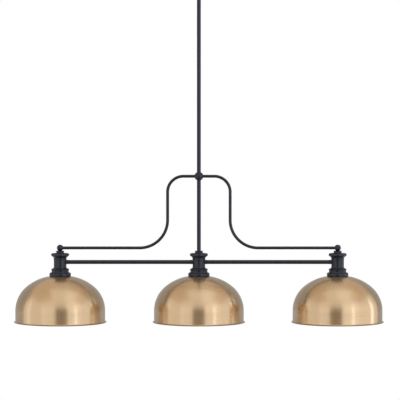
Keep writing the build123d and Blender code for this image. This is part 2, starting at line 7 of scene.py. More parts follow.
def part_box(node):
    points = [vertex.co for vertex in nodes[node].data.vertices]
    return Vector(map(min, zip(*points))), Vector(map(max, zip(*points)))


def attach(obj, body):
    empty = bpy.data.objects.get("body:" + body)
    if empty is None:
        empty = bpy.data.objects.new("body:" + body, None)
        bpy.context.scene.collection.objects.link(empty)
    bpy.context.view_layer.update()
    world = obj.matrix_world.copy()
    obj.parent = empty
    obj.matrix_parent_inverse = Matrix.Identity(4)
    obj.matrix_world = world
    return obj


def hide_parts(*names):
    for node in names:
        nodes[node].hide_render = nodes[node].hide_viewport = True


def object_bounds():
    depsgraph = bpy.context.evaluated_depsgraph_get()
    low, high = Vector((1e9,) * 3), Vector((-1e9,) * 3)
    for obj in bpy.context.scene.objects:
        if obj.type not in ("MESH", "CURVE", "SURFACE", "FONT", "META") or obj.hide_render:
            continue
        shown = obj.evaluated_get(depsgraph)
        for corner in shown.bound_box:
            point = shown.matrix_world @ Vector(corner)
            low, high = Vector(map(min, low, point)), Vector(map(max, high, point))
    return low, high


# Linear island pendant, in metres: a black scroll frame that hangs from the ceiling plane
# at z = 0, and three spun brass dome shades in a row along X.
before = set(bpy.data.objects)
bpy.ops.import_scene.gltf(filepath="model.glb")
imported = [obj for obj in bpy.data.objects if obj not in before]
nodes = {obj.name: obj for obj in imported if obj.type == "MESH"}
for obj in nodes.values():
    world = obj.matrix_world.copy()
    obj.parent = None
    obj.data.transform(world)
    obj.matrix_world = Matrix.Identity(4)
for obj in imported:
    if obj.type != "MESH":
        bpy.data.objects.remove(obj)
cad_low, cad_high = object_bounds()


# ---- Mounting bar ----
# A flat strip of steel, stamped and zinc plated. Two screws through its slots hold it across
# the ceiling box, and the whole pendant hangs from the tapped hole in its middle.
zinc_light = (0.62, 0.62, 0.60, 1)
zinc_dull = (0.45, 0.46, 0.46, 1)
patch_range = (0.36, 0.66)
grain_range = (0.3, 1.5)
grain_depth = 0.0002


def add_node(tree, kind, inputs=None, **settings):
    """Add a node. Each input is either the socket that feeds it or a constant."""
    made = tree.nodes.new(kind)
    for name, value in settings.items():
        setattr(made, name, value)
    for key, value in (inputs or {}).items():
        if isinstance(value, bpy.types.NodeSocket):
            tree.links.new(value, made.inputs[key])
        else:
            made.inputs[key].default_value = value
    return made


def new_group(name, inputs, outputs):
    """A shader group with named sockets, as its tree, its input and its output node."""
    tree = bpy.data.node_groups.new(name, "ShaderNodeTree")
    for label, kind in inputs.items():
        tree.interface.new_socket(label, in_out="INPUT", socket_type=kind)
    for label, kind in outputs.items():
        tree.interface.new_socket(label, in_out="OUTPUT", socket_type=kind)
    return tree, tree.nodes.new("NodeGroupInput").outputs, tree.nodes.new("NodeGroupOutput")


def make_surface_grain():
    """Plain surfaces: broad patches of tone over a fine grain that roughens and lifts them."""
    tree, given, made = new_group(
        "surface_grain",
        {
            "Colour": "NodeSocketColor",
            "Patch Colour": "NodeSocketColor",
            "Patch Scale": "NodeSocketFloat",
            "Grain Scale": "NodeSocketFloat",
            "Stretch": "NodeSocketVector",
            "Smoothest": "NodeSocketFloat",
            "Roughest": "NodeSocketFloat",
            "Relief": "NodeSocketFloat",
        },
        {"Colour": "NodeSocketColor", "Roughness": "NodeSocketFloat", "Normal": "NodeSocketVector"},
    )
    place = add_node(tree, "ShaderNodeTexCoord").outputs["Object"]
    stretched = add_node(
        tree, "ShaderNodeVectorMath", {0: place, 1: given["Stretch"]}, operation="MULTIPLY"
    ).outputs[0]
    patches = add_node(
        tree, "ShaderNodeTexNoise", {"Vector": place, "Scale": given["Patch Scale"], "Detail": 4.0}
    ).outputs["Fac"]
    patch_mask = add_node(
        tree,
        "ShaderNodeMapRange",
        {"Value": patches, "From Min": patch_range[0], "From Max": patch_range[1]},
    ).outputs["Result"]
    grain = add_node(
        tree,
        "ShaderNodeTexNoise",
        {"Vector": stretched, "Scale": given["Grain Scale"], "Detail": 3.0},
    ).outputs["Fac"]
    colour = add_node(
        tree,
        "ShaderNodeMix",
        {0: patch_mask, 6: given["Colour"], 7: given["Patch Colour"]},
        data_type="RGBA",
    ).outputs[2]
    tree.links.new(colour, made.inputs["Colour"])
    both = add_node(tree, "ShaderNodeMath", {0: grain, 1: patch_mask}, operation="ADD").outputs[0]
    roughness = add_node(
        tree,
        "ShaderNodeMapRange",
        {
            "Value": both,
            "From Min": grain_range[0],
            "From Max": grain_range[1],
            "To Min": given["Smoothest"],
            "To Max": given["Roughest"],
        },
    ).outputs["Result"]
    tree.links.new(roughness, made.inputs["Roughness"])
    lifted = add_node(
        tree,
        "ShaderNodeBump",
        {"Height": grain, "Strength": given["Relief"], "Distance": grain_depth},
    ).outputs["Normal"]
    tree.links.new(lifted, made.inputs["Normal"])
    return tree


surface_grain = make_surface_grain()


def new_finish(name, group, values, constants):
    """A Principled finish: what varies comes from the group, constants sit on the shader."""
    material = bpy.data.materials.new(name)
    material.use_nodes = True
    tree = material.node_tree
    shader = tree.nodes["Principled BSDF"]
    for label, value in constants.items():
        shader.inputs[label].default_value = value
    surface = add_node(tree, "ShaderNodeGroup", node_tree=group)
    for label, value in values.items():
        surface.inputs[label].default_value = value
    tree.links.new(surface.outputs["Colour"], shader.inputs["Base Color"])
    tree.links.new(surface.outputs["Roughness"], shader.inputs["Roughness"])
    tree.links.new(surface.outputs["Normal"], shader.inputs["Normal"])
    return material


def dress(name, finish):
    """Give a CAD node its finish."""
    for place in nodes[name].material_slots:
        place.material = finish


zinc_steel = new_finish(
    "zinc_steel",
    surface_grain,
    {
        "Colour": zinc_light,
        "Patch Colour": zinc_dull,
        "Patch Scale": 90.0,
        "Grain Scale": 900.0,
        "Stretch": (0.12, 1.0, 1.0),
        "Smoothest": 0.26,
        "Roughest": 0.48,
        "Relief": 0.35,
    },
    {"Metallic": 1.0},
)
dress("mounting_bar", zinc_steel)


# ---- Ground screw and lock nut ----
# The ground screw is dipped in green paint and sits in the bar beside the nipple. The hex
# lock nut is plated steel and jams the nipple against the bar from below.
ground_green = new_finish(
    "ground_green",
    surface_grain,
    {
        "Colour": (0.05, 0.24, 0.08, 1),
        "Patch Colour": (0.10, 0.33, 0.12, 1),
        "Patch Scale": 300.0,
        "Grain Scale": 1400.0,
        "Stretch": (1.0, 1.0, 1.0),
        "Smoothest": 0.24,
        "Roughest": 0.42,
        "Relief": 0.2,
    },
    {"Metallic": 0.0, "Coat Weight": 0.3, "Coat Roughness": 0.2},
)
dress("ground_screw", ground_green)
dress("lock_nut", zinc_steel)


# ---- Hanging nipple and pipe nipples ----
# Steel pipe cut from stock and threaded. One carries the pendant from the bar, and eight
# more join the stems, the hub and each head, with the wires running through them.
dress("hanger_nipple", zinc_steel)
dress("pipe_nipples", zinc_steel)


# ---- Canopy ----
# Spun steel cup with one step, powder coated in satin black like the whole frame. Its edge
# bears on the ceiling and hides the bar and the wire joints.
black_coat = (0.0060, 0.0066, 0.0135, 1)
black_coat_thin = (0.0100, 0.0108, 0.0195, 1)
black_sheen = (0.86, 0.91, 1.0, 1)
turn_steps = 160
round_segments = 6
weld_distance = 1e-6
crease_angle = radians(32)
canopy_sheet = 0.0012
canopy_step_inset = 0.0135
canopy_step_height = 0.005
canopy_edge_round = 0.004
canopy_step_round = 0.0018
nipple_hole = 0.005

frame_black = new_finish(
    "frame_black",
    surface_grain,
    {
        "Colour": black_coat,
        "Patch Colour": black_coat_thin,
        "Patch Scale": 70.0,
        "Grain Scale": 620.0,
        "Stretch": (1.0, 1.0, 1.0),
        "Smoothest": 0.22,
        "Roughest": 0.34,
        "Relief": 0.02,
    },
    {"Metallic": 0.0, "IOR": 1.5, "Specular Tint": black_sheen},
)


def draw_section(corners, closed=True):
    """A half section in the XZ plane, from (radius, height) corners. A third number rounds
    the corner, and is how far the round reaches along both its sides."""
    section = bmesh.new()
    points = [section.verts.new((corner[0], 0, corner[1])) for corner in corners]
    following = points[1:] + points[:1] if closed else points[1:]
    for start, end in zip(points, following):
        section.edges.new((start, end))
    for point, corner in zip(points, corners):
        if len(corner) > 2:
            bmesh.ops.bevel(
                section,
                geom=[point],
                offset=corner[2],
                offset_type="OFFSET",
                segments=round_segments,
                profile=0.5,
                affect="VERTICES",
                material=-1,
            )
    return section


def finished(name, shape, finish):
    """A linked object with smooth faces and crisp corners, its place in its mesh."""
    mesh = bpy.data.meshes.new(name)
    shape.to_mesh(mesh)
    shape.free()
    mesh.shade_smooth()
    mesh.set_sharp_from_angle(angle=crease_angle)
    mesh.materials.append(finish)
    piece = bpy.data.objects.new(name, mesh)
    bpy.context.scene.collection.objects.link(piece)
    return piece


def turned(name, section, place, finish):
    """Spin a half section once round, close its seam and poles and set it in place."""
    bmesh.ops.spin(
        section,
        geom=section.verts[:] + section.edges[:],
        cent=(0, 0, 0),
        axis=(0, 0, 1),
        angle=2 * pi,
        steps=turn_steps,
        use_merge=True,
        use_duplicate=False,
    )
    bmesh.ops.remove_doubles(section, verts=section.verts, dist=weld_distance)
    bmesh.ops.recalc_face_normals(section, faces=section.faces)
    bmesh.ops.transform(section, matrix=place, verts=section.verts)
    return finished(name, section, finish)


def fit(piece, body, slot, *replaced):
    """Mount a finished piece on its body, in place of the CAD nodes that it stands for."""
    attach(piece, body)
    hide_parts(*replaced)
    return piece


def add_wall(piece, thickness):
    """Give a spun skin its sheet thickness, inwards from the outer face."""
    wall = piece.modifiers.new("sheet", "SOLIDIFY")
    wall.thickness = thickness
    wall.offset = -1
    wall.use_even_offset = True
    return piece


canopy_low, canopy_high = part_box("canopy")
canopy_radius = canopy_high.x
step_z = canopy_low.z + canopy_step_height
canopy = turned(
    "canopy_shell",
    draw_section(
        [
            (canopy_radius, canopy_high.z),
            (canopy_radius, step_z, canopy_edge_round),
            (canopy_radius - canopy_step_inset, step_z, canopy_step_round),
            (canopy_radius - canopy_step_inset, canopy_low.z, canopy_step_round),
            (nipple_hole, canopy_low.z),
        ],
        closed=False,
    ),
    Matrix(),
    frame_black,
)
add_wall(canopy, canopy_sheet)
fit(canopy, "ceiling", "frame_black", "canopy")


# ---- Canopy collar ----
# Turned steel ring, threaded on the nipple below the canopy and coated with it. Fine
# straight knurling round its rim lets fingers screw it up.
collar_round = 0.0012
collar_knurl_count = 60
knurl_steps = 4
collar_knurl_depth = 0.00035
collar_band = 0.0012

collar_low, collar_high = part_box("canopy_collar")
collar_radius = collar_high.x


def knurled_ring(name, radius, hole, low, high, round_reach, knurls, depth, band, place, finish):
    """A ring whose rim carries straight knurls between two plain bands."""
    ring = bmesh.new()
    steps = knurl_steps * knurls
    bmesh.ops.create_circle(ring, segments=steps, radius=radius)
    for point in ring.verts:
        index = round((point.co.xy.angle_signed(Vector((1, 0))) + pi) / (2 * pi) * steps)
        if index % knurl_steps < knurl_steps / 2:
            point.co *= (radius - depth) / radius
    levels = [low + band, high - band]
    bmesh.ops.translate(ring, verts=ring.verts, vec=(0, 0, levels[0]))
    rim = ring.edges[:]
    for height, spread in (
        (levels[1], 1.0),
        (high - round_reach, None),
        (high, radius - round_reach),
        (high, hole),
        (low, hole),
        (low, radius - round_reach),
        (low + round_reach, None),
    ):
        grown = bmesh.ops.extrude_edge_only(ring, edges=rim)["geom"]
        points = [part for part in grown if isinstance(part, bmesh.types.BMVert)]
        for point in points:
            flat = point.co.xy
            if spread is None:
                flat = flat.normalized() * radius
            elif spread != 1.0:
                flat = flat.normalized() * spread
            point.co = (flat.x, flat.y, height)
        rim = [
            part
            for part in grown
            if isinstance(part, bmesh.types.BMEdge) and all(end in points for end in part.verts)
        ]
    start = [edge for edge in ring.edges if edge.is_boundary]
    bmesh.ops.bridge_loops(ring, edges=start)
    bmesh.ops.recalc_face_normals(ring, faces=ring.faces)
    bmesh.ops.transform(ring, matrix=place, verts=ring.verts)
    return finished(name, ring, finish)


collar = knurled_ring(
    "canopy_collar_knurled",
    collar_radius,
    nipple_hole,
    collar_low.z,
    collar_high.z,
    collar_round,
    collar_knurl_count,
    collar_knurl_depth,
    collar_band,
    Matrix(),
    frame_black,
)
fit(collar, "ceiling", "frame_black", "canopy_collar")


# ---- Swivel ----
# Cast cup that turns on the nipple, a pin through its two ears, and a tongue on the pin, so
# that the stem hangs straight under a sloping ceiling. All are coated black.
dress("swivel_body", frame_black)
dress("swivel_pin", frame_black)
dress("swivel_tongue", frame_black)


# ---- Stem ----
# Three lengths of steel tube, joined by pipe nipples: two above the hub and one below it.
# They are cut square and coated, so only a fine line shows where they meet.
for part in ("upper", "middle", "lower"):
    dress(f"stem_{part}", frame_black)


# ---- Hub ball ----
# Turned steel ball between the stems, with a flat for each tube and a socket on each side
# for the scroll rods.
dress("hub_ball", frame_black)


# ---- Scroll rods ----
# Solid round bar bent cold: out of the hub, down beside the stem, and out again above the
# arm tube. Each end is pressed into a ball.
rod_sides = 48
rod_bend_steps = 40
rod_upper_bend = 0.052
rod_lower_bend = 0.092
rod_upright = 0.103


def scroll_rod(side):
    """Draw a ring of edges along the bar: straight runs are extruded, bends are spun."""
    low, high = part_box(f"scroll_{side}")
    outwards = 1 if side == "right" else -1
    radius = high.y
    inner_x = low.x if outwards > 0 else high.x
    outer_x = high.x if outwards > 0 else low.x
    top = high.z - radius
    bottom = low.z + radius
    upright_x = rod_upright * outwards
    rod = bmesh.new()
    bmesh.ops.create_circle(rod, cap_ends=True, segments=rod_sides, radius=radius)
    bmesh.ops.rotate(rod, verts=rod.verts, matrix=Matrix.Rotation(pi / 2, 3, "Y"))
    bmesh.ops.translate(rod, verts=rod.verts, vec=(inner_x, 0, top))
    ring = rod.edges[:]

    def run(ring, travel):
        grown = bmesh.ops.extrude_edge_only(rod, edges=ring)["geom"]
        points = [part for part in grown if isinstance(part, bmesh.types.BMVert)]
        bmesh.ops.translate(rod, verts=points, vec=travel)
        return [
            part
            for part in grown
            if isinstance(part, bmesh.types.BMEdge) and all(end in points for end in part.verts)
        ]

    def bend(ring, centre, angle):
        turn = bmesh.ops.spin(
            rod,
            geom=ring,
            cent=centre,
            axis=(0, outwards, 0),
            angle=angle,
            steps=rod_bend_steps,
            use_merge=False,
            use_duplicate=False,
        )["geom_last"]
        return [part for part in turn if isinstance(part, bmesh.types.BMEdge)]

    reach = upright_x - outwards * rod_upper_bend - inner_x
    ring = run(ring, (reach, 0, 0))
    ring = bend(ring, (inner_x + reach, 0, top - rod_upper_bend), pi / 2)
    ring = run(ring, (0, 0, bottom + rod_lower_bend - (top - rod_upper_bend)))
    ring = bend(ring, (upright_x + outwards * rod_lower_bend, 0, bottom + rod_lower_bend), -pi / 2)
    ring = run(ring, (outer_x - upright_x - outwards * rod_lower_bend, 0, 0))
    bmesh.ops.edgeloop_fill(rod, edges=ring)
    bmesh.ops.recalc_face_normals(rod, faces=rod.faces)
    return finished(f"scroll_rod_{side}", rod, frame_black)


for side in ("left", "right"):
    fit(scroll_rod(side), "pendant", "frame_black", f"scroll_{side}")


# ---- End balls ----
# Turned steel balls that end the scroll rods. A short neck under each screws down through
# the seat into the cap, and so holds the rod to its head.
for side in ("left", "right"):
    dress(f"end_ball_{side}", frame_black)


# ---- Arm tubes ----
# Plain steel tubes, cut square and coated black, that carry the wires from the middle head
# to the outer heads. A ferrule joins each end to its head.
for side in ("left", "right"):
    dress(f"arm_{side}", frame_black)


# ---- Arm ferrules ----
# A turned bead on a short neck at each end of both arm tubes, plugged into the body on one
# side and into the tube on the other.
ferrule_neck_radius = 0.0064
ferrule_bead_length = 0.0045
ferrule_neck_length = 0.0020
ferrule_plug_depth = 0.003
ferrule_bead_round = 0.0009
head_sides = ("left", "middle", "right")


def head_axis(side):
    """The upright axis of a head, as its place along X."""
    low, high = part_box(f"shade_{side}")
    return (low.x + high.x) / 2


ferrule_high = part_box("arm_ferrules")[1]
ferrule_bead_radius = ferrule_high.y
arm_low, arm_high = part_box("arm_right")
arm_z = (arm_low.z + arm_high.z) / 2
bead_gap = arm_low.x - ferrule_bead_length - ferrule_neck_length
for side, outwards in (("left", 1), ("middle", -1), ("middle", 1), ("right", -1)):
    bead_start = bead_gap + ferrule_neck_length
    bead_end = bead_start + ferrule_bead_length
    ferrule = turned(
        f"arm_ferrule_{side}_{'out' if outwards > 0 else 'in'}",
        draw_section(
            [
                (0, bead_gap - ferrule_plug_depth),
                (ferrule_neck_radius, bead_gap - ferrule_plug_depth),
                (ferrule_neck_radius, bead_start),
                (ferrule_bead_radius, bead_start, ferrule_bead_round),
                (ferrule_bead_radius, bead_end, ferrule_bead_round),
                (ferrule_neck_radius, bead_end),
                (0, bead_end),
            ]
        ),
        Matrix.Translation((head_axis(side), 0, arm_z))
        @ Matrix.Rotation(outwards * pi / 2, 4, "Y"),
        frame_black,
    )
    fit(ferrule, "pendant", "frame_black", "arm_ferrules")


# ---- Seats ----
# A small dished collar on top of each cap, turned from bar. It takes the ball's neck on the
# outer heads and the foot of the stem on the middle one.
seat_waist_radius = 0.0122
seat_lip_radius = 0.0144
seat_lip_height = 0.0018
seat_foot_share = 0.18
seat_cove_start = 0.30
seat_cove_reach = 0.45
seat_dish_radius = 0.0115
seat_dish_depth = 0.0009
seat_edge_round = 0.0005
seat_hole = {"left": 0.0031, "middle": nipple_hole, "right": 0.0031}


def head_place(side):
    """A head's upright axis, with the height kept as it is."""
    return Matrix.Translation((head_axis(side), 0, 0))


for side in head_sides:
    low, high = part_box(f"seat_{side}")
    foot_radius = (high.x - low.x) / 2
    cove = high.z - seat_lip_height - low.z
    seat = turned(
        f"seat_collar_{side}",
        draw_section(
            [
                (seat_hole[side], low.z),
                (foot_radius, low.z),
                (foot_radius, low.z + cove * seat_foot_share, seat_edge_round),
                (seat_waist_radius, low.z + cove * seat_cove_start, cove * seat_cove_reach),
                (seat_waist_radius, low.z + cove, seat_edge_round),
                (seat_lip_radius, low.z + cove, seat_edge_round),
                (seat_lip_radius, high.z, seat_edge_round),
                (seat_dish_radius, high.z, seat_edge_round),
                (seat_dish_radius, high.z - seat_dish_depth),
                (seat_hole[side], high.z - seat_dish_depth),
            ]
        ),
        head_place(side),
        frame_black,
    )
    fit(seat, "pendant", "frame_black", f"seat_{side}")


# ---- Caps ----
# The bulged cap of each head, cast and turned: a round rim, a sloping underside, and a
# skirt that screws down over the body.
cap_skirt_radius = 0.0215
cap_skirt_height = 0.0070
cap_slope_height = 0.0064
cap_top_round = 0.0046
cap_edge_round = 0.0014
cap_inner_radius = 0.0187
cap_inner_height = 0.0076
cap_lip_round = 0.0006

for side in head_sides:
    low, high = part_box(f"cap_{side}")
    cap_radius = (high.x - low.x) / 2
    slope_z = low.z + cap_skirt_height
    rim_z = slope_z + cap_slope_height
    cap = turned(
        f"cap_turned_{side}",
        draw_section(
            [
                (seat_hole[side], high.z),
                (cap_radius, high.z, cap_top_round),
                (cap_radius, rim_z, cap_edge_round),
                (cap_skirt_radius, slope_z, cap_edge_round),
                (cap_skirt_radius, low.z, cap_lip_round),
                (cap_inner_radius, low.z),
                (cap_inner_radius, low.z + cap_inner_height),
                (seat_hole[side], low.z + cap_inner_height),
            ]
        ),
        head_place(side),
        frame_black,
    )
    fit(cap, "pendant", "frame_black", f"cap_{side}")


# ---- Bodies ----
# Hollow turned bodies that the arms screw into and the wires pass through. The foot flares
# out to the step ring, and a spigot at the top takes the cap.
body_radius = 0.0208
body_foot_edge = 0.0012
body_foot_cove = 0.0045
body_spigot_radius = 0.0186
body_spigot_height = 0.0075
body_foot_round = 0.0005

for side in head_sides:
    low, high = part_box(f"body_{side}")
    foot_radius = (high.y - low.y) / 2
    shoulder_z = high.z - body_spigot_height
    body = turned(
        f"body_turned_{side}",
        draw_section(
            [
                (nipple_hole, low.z),
                (foot_radius, low.z, body_foot_round),
                (foot_radius, low.z + body_foot_edge, body_foot_round),
                (body_radius, low.z + body_foot_edge, body_foot_cove),
                (body_radius, shoulder_z, cap_lip_round),
                (body_spigot_radius, shoulder_z),
                (body_spigot_radius, high.z),
                (nipple_hole, high.z),
            ]
        ),
        head_place(side),
        frame_black,
    )
    fit(body, "pendant", "frame_black", f"body_{side}")


# ---- Step rings ----
# A cast ring between body and cup, held by the nipple through it: a thin edge over a
# straight neck that widens again towards the cup.
ring_edge_radius = 0.0295
ring_neck_radius = 0.0282
ring_foot_height = 0.0030
ring_edge_height = 0.0026
ring_edge_slope = 0.0016
ring_neck_slope = 0.0022
ring_edge_round = 0.0005

for side in head_sides:
    low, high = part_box(f"step_ring_{side}")
    foot_radius = (high.x - low.x) / 2
    edge_high = high.z - ring_edge_slope
    edge_low = edge_high - ring_edge_height
    ring = turned(
        f"step_ring_cast_{side}",
        draw_section(
            [
                (nipple_hole, low.z),
                (foot_radius, low.z, ring_edge_round),
                (ring_neck_radius, low.z + ring_foot_height, ring_edge_round * 2),
                (ring_neck_radius, edge_low - ring_neck_slope, ring_edge_round),
                (ring_edge_radius, edge_low, ring_edge_round),
                (ring_edge_radius, edge_high, ring_edge_round * 2),
                (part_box(f"body_{side}")[1].y, high.z),
                (nipple_hole, high.z),
            ]
        ),
        head_place(side),
        frame_black,
    )
    fit(ring, "pendant", "frame_black", f"step_ring_{side}")


# ---- Shade cups ----
# The wide ring that bears on the shade: a cast cup turned upside down over the lampholder,
# with a round shoulder and its lower edge tucked in.
cup_wall = 0.0035
cup_top_round = 0.0040
cup_foot_round = 0.0020

for side in head_sides:
    low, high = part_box(f"shade_cup_{side}")
    cup_radius = (high.x - low.x) / 2
    cup = turned(
        f"shade_cup_cast_{side}",
        draw_section(
            [
                (nipple_hole, high.z),
                (cup_radius, high.z, cup_top_round),
                (cup_radius, low.z, cup_foot_round),
                (cup_radius - cup_wall, low.z),
                (cup_radius - cup_wall, high.z - cup_wall),
                (nipple_hole, high.z - cup_wall),
            ]
        ),
        head_place(side),
        frame_black,
    )
    fit(cup, "pendant", "frame_black", f"shade_cup_{side}")


# ---- Shades ----
# Brass discs spun over a former: a shallow crown, a round shoulder, an upright wall and a
# flared lip with its edge rolled under. Brushed round and round, then lacquered. Painted
# shade darkens the underside of the rolled lip.
brass_light = (0.67, 0.475, 0.280, 1)
brass_deep = (0.60, 0.415, 0.230, 1)
# Painted shade: a dark brown laid on the lowest 2 mm of each shade for the dark underside of the
# rolled lip, with the height it reaches and its fade.
lip_shade_brown = (0.16, 0.085, 0.040, 1)
lip_shade_height = 0.0022
lip_shade_fade = 0.0008
mark_range = (0.45, 0.90)
mark_depth = 0.0001
patch_share = 0.35
shade_sheet = 0.0009
shade_wall_radius = 0.148
shade_wall_height = 0.0389
shade_shoulder_radius = 0.103
shade_shoulder_angle = radians(49.5)
shade_crown_radius = 0.1524
shade_hole_radius = 0.0204
lip_height = 0.0032
lip_flare_reach = 0.0020
lip_roll_reach = 0.00155
lip_return = 0.0022
arc_steps = 40
head_pitch = head_axis("right")


def make_spun_marks():
    """Fine rings left by the brushing: lines that follow the turn about the nearest head's
    axis, long but not endless, over slow patches of tone. Under the lip shade height the
    colour turns dark as painted shade, for the dark underside of the rolled lip."""
    tree, given, made = new_group(
        "spun_marks",
        {
            "Colour": "NodeSocketColor",
            "Mark Colour": "NodeSocketColor",
            "Lip Shade Colour": "NodeSocketColor",
            "Lip Shade Height": "NodeSocketFloat",
            "Lines": "NodeSocketFloat",
            "Drift": "NodeSocketFloat",
            "Patch Scale": "NodeSocketFloat",
            "Smoothest": "NodeSocketFloat",
            "Roughest": "NodeSocketFloat",
            "Relief": "NodeSocketFloat",
        },
        {"Colour": "NodeSocketColor", "Roughness": "NodeSocketFloat", "Normal": "NodeSocketVector"},
    )
    place = add_node(tree, "ShaderNodeTexCoord").outputs["Object"]
    apart = add_node(tree, "ShaderNodeSeparateXYZ", {0: place}).outputs
    across = add_node(
        tree,
        "ShaderNodeMath",
        {0: apart["X"], 1: head_pitch / 2, 2: -head_pitch / 2},
        operation="WRAP",
    ).outputs[0]
    flat = add_node(tree, "ShaderNodeCombineXYZ", {"X": across, "Y": apart["Y"]}).outputs[0]
    radius = add_node(
        tree, "ShaderNodeVectorMath", {0: flat}, operation="LENGTH"
    ).outputs["Value"]
    section = add_node(tree, "ShaderNodeCombineXYZ", {"X": radius, "Y": apart["Z"]}).outputs[0]
    lines = add_node(
        tree, "ShaderNodeVectorMath", {0: section, "Scale": given["Lines"]}, operation="SCALE"
    ).outputs[0]
    drift = add_node(
        tree, "ShaderNodeVectorMath", {0: flat, "Scale": given["Drift"]}, operation="SCALE"
    ).outputs[0]
    strokes = add_node(
        tree, "ShaderNodeVectorMath", {0: lines, 1: drift}, operation="ADD"
    ).outputs[0]
    marks = add_node(
        tree,
        "ShaderNodeTexNoise",
        {"Vector": strokes, "Scale": 1.0, "Detail": 4.0, "Roughness": 0.6},
    ).outputs["Fac"]
    patches = add_node(
        tree, "ShaderNodeTexNoise", {"Vector": place, "Scale": given["Patch Scale"], "Detail": 3.0}
    ).outputs["Fac"]
    tone = add_node(
        tree, "ShaderNodeMath", {0: patches, 1: patch_share, 2: marks}, operation="MULTIPLY_ADD"
    ).outputs[0]
    mask = add_node(
        tree,
        "ShaderNodeMapRange",
        {"Value": tone, "From Min": mark_range[0], "From Max": mark_range[1]},
    ).outputs["Result"]
    colour = add_node(
        tree,
        "ShaderNodeMix",
        {0: mask, 6: given["Colour"], 7: given["Mark Colour"]},
        data_type="RGBA",
    ).outputs[2]
    # Painted shade: below its height the colour turns to the dark lip colour, for the dark
    # underside of the rolled lip.
    above = add_node(
        tree, "ShaderNodeMath", {0: apart["Z"], 1: given["Lip Shade Height"]}, operation="SUBTRACT"
    ).outputs[0]
    unshaded = add_node(
        tree, "ShaderNodeMapRange", {"Value": above, "From Max": lip_shade_fade}
    ).outputs["Result"]
    colour = add_node(
        tree,
        "ShaderNodeMix",
        {0: unshaded, 6: given["Lip Shade Colour"], 7: colour},
        data_type="RGBA",
    ).outputs[2]
    tree.links.new(colour, made.inputs["Colour"])
    roughness = add_node(
        tree,
        "ShaderNodeMapRange",
        {
            "Value": tone,
            "From Min": mark_range[0],
            "From Max": mark_range[1],
            "To Min": given["Smoothest"],
            "To Max": given["Roughest"],
        },
    ).outputs["Result"]
    tree.links.new(roughness, made.inputs["Roughness"])
    lifted = add_node(
        tree,
        "ShaderNodeBump",
        {"Height": marks, "Strength": given["Relief"], "Distance": mark_depth},
    ).outputs["Normal"]
    tree.links.new(lifted, made.inputs["Normal"])
    return tree


spun_marks = make_spun_marks()
shade_brass = new_finish(
    "shade_brass",
    spun_marks,
    {
        "Colour": brass_light,
        "Mark Colour": brass_deep,
        # Painted shade for the underside of the rolled lip, up to just above the rim.
        "Lip Shade Colour": lip_shade_brown,
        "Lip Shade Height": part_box("shade_middle")[0].z + lip_shade_height,
        "Lines": 1600.0,
        "Drift": 9.0,
        "Patch Scale": 9.0,
        "Smoothest": 0.26,
        "Roughest": 0.34,
        "Relief": 0.03,
    },
    {
        "Metallic": 1.0,
        "Anisotropic": 0.80,
        "Anisotropic Rotation": 0.25,
        "Coat Weight": 0.8,
        "Coat Roughness": 0.16,
    },
)


def arc(section, start, centre, angle):
    """Carry the outline on from its last point, turning about a centre."""
    last = bmesh.ops.spin(
        section,
        geom=[start],
        cent=(centre[0], 0, centre[1]),
        axis=(0, -1, 0),
        angle=angle,
        steps=arc_steps,
        use_merge=False,
        use_duplicate=False,
    )["geom_last"]
    return next(part for part in last if isinstance(part, bmesh.types.BMVert))


def shade_section(rim_radius, height):
    """The outer skin's outline, measured from the rim, drawn from the rolled edge upwards."""
    wall_foot = (shade_wall_radius, lip_height, lip_flare_reach)
    skin = draw_section(
        [
            (shade_wall_radius + shade_sheet, lip_return),
            (shade_wall_radius + shade_sheet, 0, lip_roll_reach / 2),
            (rim_radius, 0, lip_roll_reach),
            (rim_radius, lip_height, lip_roll_reach),
            wall_foot,
            (shade_wall_radius, shade_wall_height),
        ],
        closed=False,
    )
    top = max(skin.verts, key=lambda point: point.co.z)
    shoulder = (shade_wall_radius - shade_shoulder_radius, shade_wall_height)
    top = arc(skin, top, shoulder, shade_shoulder_angle)
    step = shade_crown_radius - shade_shoulder_radius
    crown = (
        shoulder[0] - step * cos(shade_shoulder_angle),
        shoulder[1] - step * sin(shade_shoulder_angle),
    )
    crown_end = asin((height - crown[1]) / shade_crown_radius)
    top = arc(skin, top, crown, crown_end - shade_shoulder_angle)
    hole_edge = bmesh.ops.extrude_vert_indiv(skin, verts=[top])["verts"][0]
    hole_edge.co = (shade_hole_radius, 0, height)
    return skin


for side in head_sides:
    low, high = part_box(f"shade_{side}")
    shade = turned(
        f"shade_spun_{side}",
        shade_section((high.x - low.x) / 2, high.z - low.z),
        Matrix.Translation((head_axis(side), 0, low.z)),
        shade_brass,
    )
    add_wall(shade, shade_sheet)
    fit(shade, "pendant", "shade_brass", f"shade_{side}")


# ---- Lampholders ----
# Glazed porcelain: a barrel through the shade's hole, a flange that rests on the crown
# under the cup, and a mouth with a soft fired edge.
glaze_white = (0.84, 0.83, 0.79, 1)
glaze_warm = (0.76, 0.74, 0.68, 1)
barrel_radius = 0.01975
flange_height = 0.0040
mouth_depth = 0.0340
roof_depth = 0.0020
bore_radius = 0.01395
glaze_round = 0.0011

porcelain = new_finish(
    "porcelain",
    surface_grain,
    {
        "Colour": glaze_white,
        "Patch Colour": glaze_warm,
        "Patch Scale": 60.0,
        "Grain Scale": 420.0,
        "Stretch": (1.0, 1.0, 1.0),
        "Smoothest": 0.10,
        "Roughest": 0.24,
        "Relief": 0.12,
    },
    {"Metallic": 0.0, "Coat Weight": 0.6, "Coat Roughness": 0.08},
)

